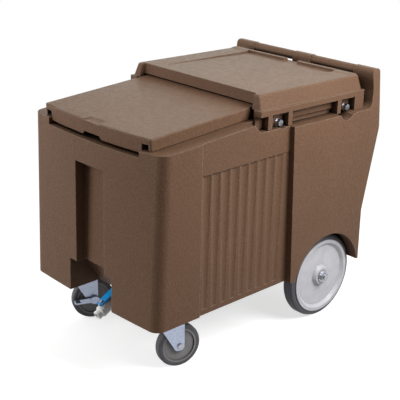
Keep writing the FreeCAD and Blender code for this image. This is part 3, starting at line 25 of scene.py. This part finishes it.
# Camera, fitted to the photograph's frame of 400 x 400
CAMERA_PLACE = (1.9986, -1.8795, 1.3990)
CAMERA_AZIMUTH = 47.04
CAMERA_ELEVATION = 20.805
CAMERA_ROLL = 0.76
CAMERA_LENS = 88.98
CAMERA_SENSOR = 36.0

# Colours, linear
BROWN = (0.166, 0.090, 0.053)
# pale brown of the grain and of the painted edge highlights
BROWN_GRAIN_AND_HIGHLIGHT = (0.340, 0.255, 0.195)
BROWN_DARK = (0.112, 0.058, 0.033)
# painted shade: near-black tone laid into slots, pockets and deep cavities of the brown plastic
BROWN_CREVICE_SHADE = (0.010, 0.005, 0.003)
TYRE_GREY = (0.078, 0.073, 0.084)
TYRE_DUST = (0.100, 0.095, 0.108)
HUB_GREY = (0.640, 0.630, 0.665)
HUB_SHADE = (0.570, 0.562, 0.595)
# painted shade for the corners and grooves of the hub
HUB_CORNER_SHADE = (0.140, 0.136, 0.146)
CORE_GREY = (0.225, 0.216, 0.220)
CORE_PALE = (0.260, 0.250, 0.255)
# painted shade for the corners and grooves of the caster core
CORE_CORNER_SHADE = (0.045, 0.045, 0.044)
ZINC = (0.370, 0.410, 0.510)
ZINC_DARK = (0.260, 0.290, 0.370)
BRIGHT_STEEL = (0.430, 0.440, 0.470)
BRIGHT_DARK = (0.200, 0.205, 0.220)
SPIGOT_WHITE = (0.950, 0.950, 0.940)
# painted shade for the corners of the white tap
SPIGOT_CORNER_SHADE = (0.700, 0.690, 0.660)
LEVER_BLUE = (0.002, 0.330, 0.800)
# painted shade for the corners of the blue lever
LEVER_CORNER_SHADE = (0.001, 0.080, 0.220)
GASKET_BLACK = (0.020, 0.020, 0.020)
BUSH_BRONZE = (0.480, 0.330, 0.140)

# Grain, scuffs and dust of the finishes, with their painted edge highlights and painted shade in
# hollows: scales per metre, depths and reaches in metres
GRAIN_SCALE = 900.0
GRAIN_DEPTH = 0.00012
GRAIN_STRENGTH = 0.35
GRAIN_SHARE = 0.10
PEEL_SCALE = 210.0
PEEL_DEPTH = 0.0016
PEEL_STRENGTH = 0.8
CLOUD_SCALE = 7.0
CLOUD_SHARE = 0.22
SMALL_CLOUD_SCALE = 45.0
SCUFF_SCALE = 60.0
DUST_SCALE = 120.0
SPANGLE_SCALE = 220.0
DRAWN_SCALE = 1400.0
# painted highlight: how far the edges lean to pale brown, and how soon
EDGE_HIGHLIGHT_SHARE = 0.75
EDGE_LEAN = 0.93
EDGE_SAMPLES = 4
SPECKLE_SCALE = 210.0
SPECKLE_SHARE = 0.50
# painted shade: reaches and open windows of the darkening in pockets, cavities and corners
POCKET_REACH = 0.060
POCKET_OPEN = (0.10, 0.30)
CAVITY_REACH = 0.160
CAVITY_OPEN = (0.16, 0.42)
CORNER_REACH = 0.016
CORNER_OPEN = (0.35, 0.92)
CREVICE_SAMPLES = 8
PLASTIC_SPECULAR = 0.12
RUBBER_GRAIN_STRENGTH = 0.35
SMOOTH_PEEL_STRENGTH = 0.08
DRAWN_STRENGTH = 0.2
DUST_SHARE = 0.7
SPANGLE_SHARE = 0.8

# Noise of each layer: its detail and its roughness
CLOUD_NOISE = (3.0, 0.55)
GRAIN_NOISE = (2.0, 0.6)
SPECKLE_NOISE = (1.0, 0.5)
PEEL_NOISE = (2.0, 0.5)
SCUFF_NOISE = (4.0, 0.6)
SOFT_SCUFF_NOISE = (3.0, 0.5)
DRAWN_NOISE = (3.0, 0.6)

# Part of each noise that is spread from none to all
CLOUD_WINDOW = (0.35, 0.65)
GRAIN_WINDOW = (0.38, 0.62)
SPECKLE_WINDOW = (0.36, 0.64)
SCUFF_WINDOW = (0.3, 0.7)
DUST_WINDOW = (0.42, 0.68)
SPANGLE_WINDOW = (0.1, 0.9)

# Roughness of the finishes, and how far scuffs lower and raise it
BROWN_ROUGH = 0.50
HUB_ROUGH = 0.38
CORE_ROUGH = 0.45
ZINC_ROUGH = 0.34
BRIGHT_ROUGH = 0.30
BUSH_ROUGH = 0.40
SPIGOT_ROUGH = 0.32
LEVER_ROUGH = 0.30
RUBBER_ROUGH = (0.58, 0.74)
BROWN_SCUFF = (0.06, 0.06)
SMOOTH_SCUFF = (0.05, 0.07)
STEEL_SCUFF = (0.06, 0.1)
TAP_COAT = 0.2
COAT_ROUGH = 0.25

# Edges of the mouldings, in metres
MOULD_ROUND = 3.0 * MM
SMALL_ROUND = 0.5 * MM

# Light and floor
FLOOR_HALF = 12.0
FLOOR_FADE = (0.9, 2.4)
KEY_PLACE = (0.4, -0.4, 3.2)
KEY_SIZE = 2.0
KEY_POWER = 4.0
FRONT_PLACE = (-1.5, -2.6, 1.5)
FRONT_SIZE = 1.6
FRONT_POWER = 59.0
SIDE_PLACE = (1.38, 0.40, 1.50)
SIDE_SIZE = 0.9
SIDE_POWER = 34.0
BACK_PLACE = (-2.4, 2.3, 2.3)
BACK_SIZE = 2.4
BACK_POWER = 34.0
BACK_COLOUR = (0.93, 1.0, 0.89)
LEFT_PLACE = (-2.3, -0.5, 1.3)
LEFT_SIZE = 1.6
LEFT_POWER = 13.0
AIM = (0.0, 0.0, 0.38)
ROOM_STRENGTH = 0.10
FLOOR_GREY = 0.14
FLOOR_SHOWN = 0.62
FLOOR_GLOW = 0.66
FLOOR_ROUGH = 0.9
WHITE = (1.0, 1.0, 1.0)


def new_material(name):
    """A material with its node tree and its shader."""
    material = bpy.data.materials.new(name)
    material.use_nodes = True
    tree = material.node_tree
    shader = tree.nodes["Principled BSDF"]
    return material, tree, shader


def add_node(tree, kind, **values):
    """A node of the tree with its properties set by name."""
    node = tree.nodes.new(kind)
    for name, value in values.items():
        setattr(node, name, value)
    return node


def noise(tree, place, scale, grain):
    """Noise of the given grains per metre, with its grain's detail and roughness."""
    node = add_node(tree, "ShaderNodeTexNoise")
    node.inputs["Scale"].default_value = scale
    node.inputs["Detail"].default_value = grain[0]
    node.inputs["Roughness"].default_value = grain[1]
    tree.links.new(place, node.inputs["Vector"])
    return node.outputs["Fac"]


def spread(tree, value, low, high, to_low=0.0, to_high=1.0):
    """Maps one value range onto another, clamped."""
    node = add_node(tree, "ShaderNodeMapRange")
    node.inputs["From Min"].default_value = low
    node.inputs["From Max"].default_value = high
    node.inputs["To Min"].default_value = to_low
    node.inputs["To Max"].default_value = to_high
    tree.links.new(value, node.inputs["Value"])
    return node.outputs["Result"]


def share_of(tree, mask, share):
    """A mask that reaches up to the given share."""
    return spread(tree, mask, 0.0, 1.0, 0.0, share)


def scuff(tree, shader, value, roughness, reach):
    """Roughness that a noise lowers and raises by the reach."""
    rough = spread(tree, value, *SCUFF_WINDOW, roughness - reach[0], roughness + reach[1])
    tree.links.new(rough, shader.inputs["Roughness"])


def blend_colour(tree, share, first, second):
    """A mix of two colours, each a tuple or a socket."""
    node = add_node(tree, "ShaderNodeMix", data_type="RGBA")
    tree.links.new(share, node.inputs["Factor"])
    for socket, colour in ((node.inputs[6], first), (node.inputs[7], second)):
        if isinstance(colour, tuple):
            socket.default_value = colour + (1.0,)
        else:
            tree.links.new(colour, socket)
    return node.outputs[2]


def object_place(tree):
    """Object coordinates, the same everywhere on the part."""
    return add_node(tree, "ShaderNodeTexCoord").outputs["Object"]


def soft_edges(tree, radius):
    """The normal rounded over the edges."""
    edge = add_node(tree, "ShaderNodeBevel", samples=EDGE_SAMPLES)
    edge.inputs["Radius"].default_value = radius
    return edge.outputs["Normal"]


def edge_mask(tree, rounded):
    """0 on flat faces, 1 where the rounded normal leans away from the face."""
    face = add_node(tree, "ShaderNodeNewGeometry").outputs["Normal"]
    lean = add_node(tree, "ShaderNodeVectorMath", operation="DOT_PRODUCT")
    tree.links.new(rounded, lean.inputs[0])
    tree.links.new(face, lean.inputs[1])
    return spread(tree, lean.outputs["Value"], 1.0, EDGE_LEAN)


def openness(tree, reach, window):
    """0 where walls nearer than the reach close a place in, 1 on open faces; the mask for painted
    shade.
    """
    node = add_node(tree, "ShaderNodeAmbientOcclusion", samples=CREVICE_SAMPLES)
    node.inputs["Distance"].default_value = reach
    return spread(tree, node.outputs["AO"], *window)


def painted_crevice_shade(tree):
    """Painted shade mask: 0 in slots, pockets and deep cavities of the part, where shade falls, 1
    on its open faces.
    """
    both = add_node(tree, "ShaderNodeMath", operation="MULTIPLY")
    tree.links.new(openness(tree, POCKET_REACH, POCKET_OPEN), both.inputs[0])
    tree.links.new(openness(tree, CAVITY_REACH, CAVITY_OPEN), both.inputs[1])
    return both.outputs[0]


def bump(tree, shader, layers, normal):
    """Chains bump layers, each (height socket, depth in metres, strength), on a base normal."""
    for height, depth, strength in layers:
        node = add_node(tree, "ShaderNodeBump")
        node.inputs["Strength"].default_value = strength
        node.inputs["Distance"].default_value = depth
        tree.links.new(height, node.inputs["Height"])
        tree.links.new(normal, node.inputs["Normal"])
        normal = node.outputs["Normal"]
    tree.links.new(normal, shader.inputs["Normal"])


def moulded_plastic(name, base, pale, dark, roughness):
    """Rotomoulded plastic: fine grain, orange peel, cloudy tone, painted highlights on its edges
    and painted near-black shade in its slots and hollows.
    """
    material, tree, shader = new_material(name)
    place = object_place(tree)
    clouds = spread(tree, noise(tree, place, CLOUD_SCALE, CLOUD_NOISE), *CLOUD_WINDOW)
    grain = spread(tree, noise(tree, place, GRAIN_SCALE, GRAIN_NOISE), *GRAIN_WINDOW)
    tone = blend_colour(tree, share_of(tree, clouds, CLOUD_SHARE), base, dark)
    tone = blend_colour(tree, share_of(tree, grain, GRAIN_SHARE), tone, pale)
    rounded = soft_edges(tree, MOULD_ROUND)
    painted_highlight = edge_mask(tree, rounded)
    # painted highlight: edges lean towards the pale brown
    tone = blend_colour(tree, share_of(tree, painted_highlight, EDGE_HIGHLIGHT_SHARE), tone, pale)
    speckle = noise(tree, place, SPECKLE_SCALE, SPECKLE_NOISE)
    speckle = spread(tree, speckle, *SPECKLE_WINDOW, 0.0, SPECKLE_SHARE)
    tone = blend_colour(tree, speckle, tone, dark)
    # painted shade: slots, pockets and deep cavities go near black
    tone = blend_colour(tree, painted_crevice_shade(tree), BROWN_CREVICE_SHADE, tone)
    tree.links.new(tone, shader.inputs["Base Color"])
    scuff(tree, shader, noise(tree, place, SCUFF_SCALE, SCUFF_NOISE), roughness, BROWN_SCUFF)
    shader.inputs["Specular IOR Level"].default_value = PLASTIC_SPECULAR
    fine = noise(tree, place, GRAIN_SCALE, GRAIN_NOISE)
    peel = noise(tree, place, PEEL_SCALE, PEEL_NOISE)
    layers = ((peel, PEEL_DEPTH, PEEL_STRENGTH), (fine, GRAIN_DEPTH, GRAIN_STRENGTH))
    bump(tree, shader, layers, rounded)
    return material


def rubber(name, base, dust):
    """Grey tread rubber with dust in its pores."""
    material, tree, shader = new_material(name)
    place = object_place(tree)
    dusty = noise(tree, place, DUST_SCALE, SCUFF_NOISE)
    dusty = spread(tree, dusty, *DUST_WINDOW, 0.0, DUST_SHARE)
    tree.links.new(blend_colour(tree, dusty, base, dust), shader.inputs["Base Color"])
    rough = noise(tree, place, SCUFF_SCALE, SOFT_SCUFF_NOISE)
    rough = spread(tree, rough, *SCUFF_WINDOW, *RUBBER_ROUGH)
    tree.links.new(rough, shader.inputs["Roughness"])
    rounded = soft_edges(tree, SMALL_ROUND)
    fine = noise(tree, place, GRAIN_SCALE, GRAIN_NOISE)
    bump(tree, shader, ((fine, GRAIN_DEPTH, RUBBER_GRAIN_STRENGTH),), rounded)
    return material


def moulded_part(name, base, shade, corner_shade, roughness, coat=0.0):
    """Smooth injection-moulded plastic with a slight cloud, a fine texture and painted shade in
    its corners.
    """
    material, tree, shader = new_material(name)
    place = object_place(tree)
    clouds = spread(tree, noise(tree, place, SMALL_CLOUD_SCALE, PEEL_NOISE), *CLOUD_WINDOW)
    tone = blend_colour(tree, clouds, base, shade)
    # painted shade: corners and grooves darken towards the shade colour
    tone = blend_colour(tree, openness(tree, CORNER_REACH, CORNER_OPEN), corner_shade, tone)
    tree.links.new(tone, shader.inputs["Base Color"])
    scuff(tree, shader, noise(tree, place, SCUFF_SCALE, SCUFF_NOISE), roughness, SMOOTH_SCUFF)
    shader.inputs["Coat Weight"].default_value = coat
    shader.inputs["Coat Roughness"].default_value = COAT_ROUGH
    rounded = soft_edges(tree, SMALL_ROUND)
    peel = noise(tree, place, PEEL_SCALE, PEEL_NOISE)
    bump(tree, shader, ((peel, PEEL_DEPTH, SMOOTH_PEEL_STRENGTH),), rounded)
    return material


def plated_steel(name, base, shade, roughness, grain):
    """Zinc plated or bright steel with a faint spangle and drawn grain."""
    material, tree, shader = new_material(name)
    place = object_place(tree)
    spangle = add_node(tree, "ShaderNodeTexVoronoi")
    spangle.inputs["Scale"].default_value = SPANGLE_SCALE
    tree.links.new(place, spangle.inputs["Vector"])
    mottled = spread(tree, spangle.outputs["Distance"], *SPANGLE_WINDOW, 0.0, SPANGLE_SHARE)
    tree.links.new(blend_colour(tree, mottled, base, shade), shader.inputs["Base Color"])
    shader.inputs["Metallic"].default_value = 1.0
    scuff(tree, shader, noise(tree, place, SMALL_CLOUD_SCALE, SCUFF_NOISE), roughness, STEEL_SCUFF)
    rounded = soft_edges(tree, SMALL_ROUND)
    drawn = noise(tree, place, grain, DRAWN_NOISE)
    bump(tree, shader, ((drawn, GRAIN_DEPTH, DRAWN_STRENGTH),), rounded)
    return material


def node_names(*starts):
    """The CAD nodes whose names begin with any of these words."""
    return [name for name in sorted(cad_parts) if name.startswith(starts)]


def finish_node(name, material):
    """Gives a CAD node its material."""
    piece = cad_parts[name]
    for place in piece.material_slots:
        place.material = material


def finish_nodes():
    """Materials of every CAD node."""
    brown = moulded_plastic("brown plastic", BROWN, BROWN_GRAIN_AND_HIGHLIGHT, BROWN_DARK, BROWN_ROUGH)
    tyre = rubber("grey tyre", TYRE_GREY, TYRE_DUST)
    hub = moulded_part("wheel hub plastic", HUB_GREY, HUB_SHADE, HUB_CORNER_SHADE, HUB_ROUGH)
    core = moulded_part("caster core plastic", CORE_GREY, CORE_PALE, CORE_CORNER_SHADE, CORE_ROUGH)
    zinc = plated_steel("zinc plate", ZINC, ZINC_DARK, ZINC_ROUGH, SPANGLE_SCALE)
    bright = plated_steel("bright plate", BRIGHT_STEEL, BRIGHT_DARK, BRIGHT_ROUGH, DRAWN_SCALE)
    bronze = plated_steel("bush bronze", BUSH_BRONZE, BUSH_BRONZE, BUSH_ROUGH, DRAWN_SCALE)
    white = moulded_part("white tap plastic", SPIGOT_WHITE, SPIGOT_WHITE, SPIGOT_CORNER_SHADE,
                         SPIGOT_ROUGH, TAP_COAT)
    blue = moulded_part("blue lever plastic", LEVER_BLUE, LEVER_BLUE, LEVER_CORNER_SHADE,
                        LEVER_ROUGH, TAP_COAT)
    black = rubber("black gasket", GASKET_BLACK, TYRE_GREY)
    for name in node_names("tub", "rear_cover", "sliding_lid", "handle_bar", "drain_shelf"):
        finish_node(name, brown)
    for name in node_names("rear_tyre", "caster_tread"):
        finish_node(name, tyre)
    for name in node_names("rear_hub"):
        finish_node(name, hub)
    for name in node_names("caster_core"):
        finish_node(name, core)
    for name in node_names("caster_plate", "caster_race", "caster_fork", "brake_lever"):
        finish_node(name, zinc)
    for name in node_names("axle", "cover_bolts", "cover_washers", "caster_axle", "caster_bolts",
                           "kingpin", "lever_screw", "caster_bearing"):
        finish_node(name, bright)
    for name in node_names("rear_bush", "caster_bush", "cover_inserts"):
        finish_node(name, bronze)
    for name in ("drain_tap", "tap_stem"):
        finish_node(name, white)
    finish_node("tap_lever", blue)
    finish_node("tap_gasket", black)


def camera_rays(tree):
    """1 for rays from the camera, in a mirror or through glass, else 0."""
    path = add_node(tree, "ShaderNodeLightPath")
    total = path.outputs["Is Camera Ray"]
    for name in ("Is Glossy Ray", "Is Transmission Ray"):
        node = add_node(tree, "ShaderNodeMath", operation="MAXIMUM")
        tree.links.new(total, node.inputs[0])
        tree.links.new(path.outputs[name], node.inputs[1])
        total = node.outputs[0]
    return total


def make_world():
    """Soft grey light from all sides that shows as white behind the object."""
    world = bpy.data.worlds.new("studio")
    bpy.context.scene.world = world
    world.use_nodes = True
    tree = world.node_tree
    ground = tree.nodes["Background"]
    ground.inputs["Color"].default_value = WHITE + (1.0,)
    ground.inputs["Strength"].default_value = ROOM_STRENGTH
    shown = add_node(tree, "ShaderNodeBackground")
    shown.inputs["Color"].default_value = WHITE + (1.0,)
    shown.inputs["Strength"].default_value = 1.0
    mix = add_node(tree, "ShaderNodeMixShader")
    tree.links.new(camera_rays(tree), mix.inputs[0])
    tree.links.new(ground.outputs[0], mix.inputs[1])
    tree.links.new(shown.outputs[0], mix.inputs[2])
    tree.links.new(mix.outputs[0], tree.nodes["World Output"].inputs["Surface"])


def make_floor():
    """A pale floor that shows as white and keeps the object's soft shadow."""
    signs = ((-1, -1), (1, -1), (1, 1), (-1, 1))
    corners = [(x * FLOOR_HALF, y * FLOOR_HALF, 0.0) for x, y in signs]
    mesh = bpy.data.meshes.new("floor")
    mesh.from_pydata(corners, [], [(0, 1, 2, 3)])
    floor = bpy.data.objects.new("floor", mesh)
    bpy.context.scene.collection.objects.link(floor)
    material, tree, shader = new_material("floor")
    shader.inputs["Base Color"].default_value = (FLOOR_GREY, FLOOR_GREY, FLOOR_GREY, 1.0)
    shader.inputs["Roughness"].default_value = FLOOR_ROUGH
    shown = add_node(tree, "ShaderNodeBsdfDiffuse")
    shown.inputs["Color"].default_value = (FLOOR_SHOWN, FLOOR_SHOWN, FLOOR_SHOWN, 1.0)
    glow = add_node(tree, "ShaderNodeEmission")
    glow.inputs["Strength"].default_value = FLOOR_GLOW
    both = add_node(tree, "ShaderNodeAddShader")
    tree.links.new(shown.outputs[0], both.inputs[0])
    tree.links.new(glow.outputs[0], both.inputs[1])
    plain = add_node(tree, "ShaderNodeEmission")
    away = add_node(tree, "ShaderNodeVectorMath", operation="LENGTH")
    tree.links.new(object_place(tree), away.inputs[0])
    fade = add_node(tree, "ShaderNodeMixShader")
    tree.links.new(spread(tree, away.outputs["Value"], *FLOOR_FADE), fade.inputs[0])
    tree.links.new(both.outputs[0], fade.inputs[1])
    tree.links.new(plain.outputs[0], fade.inputs[2])
    mix = add_node(tree, "ShaderNodeMixShader")
    tree.links.new(camera_rays(tree), mix.inputs[0])
    tree.links.new(shader.outputs[0], mix.inputs[1])
    tree.links.new(fade.outputs[0], mix.inputs[2])
    tree.links.new(mix.outputs[0], tree.nodes["Material Output"].inputs["Surface"])
    mesh.materials.append(material)


def make_lamp(name, place, extent, power, colour=WHITE):
    """A square soft light that points at the middle of the object."""
    data = bpy.data.lights.new(name, "AREA")
    data.color = colour
    data.size = extent
    data.energy = power
    lamp = bpy.data.objects.new(name, data)
    lamp.location = place
    lamp.rotation_euler = (Vector(AIM) - Vector(place)).to_track_quat("-Z", "Y").to_euler()
    lamp.visible_camera = False
    bpy.context.scene.collection.objects.link(lamp)


def make_camera():
    """The camera at the photograph's viewpoint."""
    azimuth = math.radians(CAMERA_AZIMUTH)
    elevation = math.radians(CAMERA_ELEVATION)
    roll = math.radians(CAMERA_ROLL)
    reach = math.cos(elevation)
    back = Vector((math.sin(azimuth) * reach, -math.cos(azimuth) * reach, math.sin(elevation)))
    right = Vector((0.0, 0.0, 1.0)).cross(back).normalized()
    up = back.cross(right)
    turned_right = right * math.cos(roll) + up * math.sin(roll)
    turned_up = up * math.cos(roll) - right * math.sin(roll)
    data = bpy.data.cameras.new("camera")
    data.lens = CAMERA_LENS
    data.sensor_width = CAMERA_SENSOR
    camera = bpy.data.objects.new("camera", data)
    turn = Matrix((turned_right, turned_up, back)).transposed().to_4x4()
    camera.matrix_world = Matrix.Translation(CAMERA_PLACE) @ turn
    bpy.context.scene.collection.objects.link(camera)
    bpy.context.scene.camera = camera


finish_nodes()
make_world()
make_floor()
make_lamp("key", KEY_PLACE, KEY_SIZE, KEY_POWER)
make_lamp("front", FRONT_PLACE, FRONT_SIZE, FRONT_POWER)
make_lamp("side", SIDE_PLACE, SIDE_SIZE, SIDE_POWER)
make_lamp("back", BACK_PLACE, BACK_SIZE, BACK_POWER, BACK_COLOUR)
make_lamp("left", LEFT_PLACE, LEFT_SIZE, LEFT_POWER)
make_camera()
bpy.context.scene.view_settings.view_transform = "Standard"
bpy.context.view_layer.update()
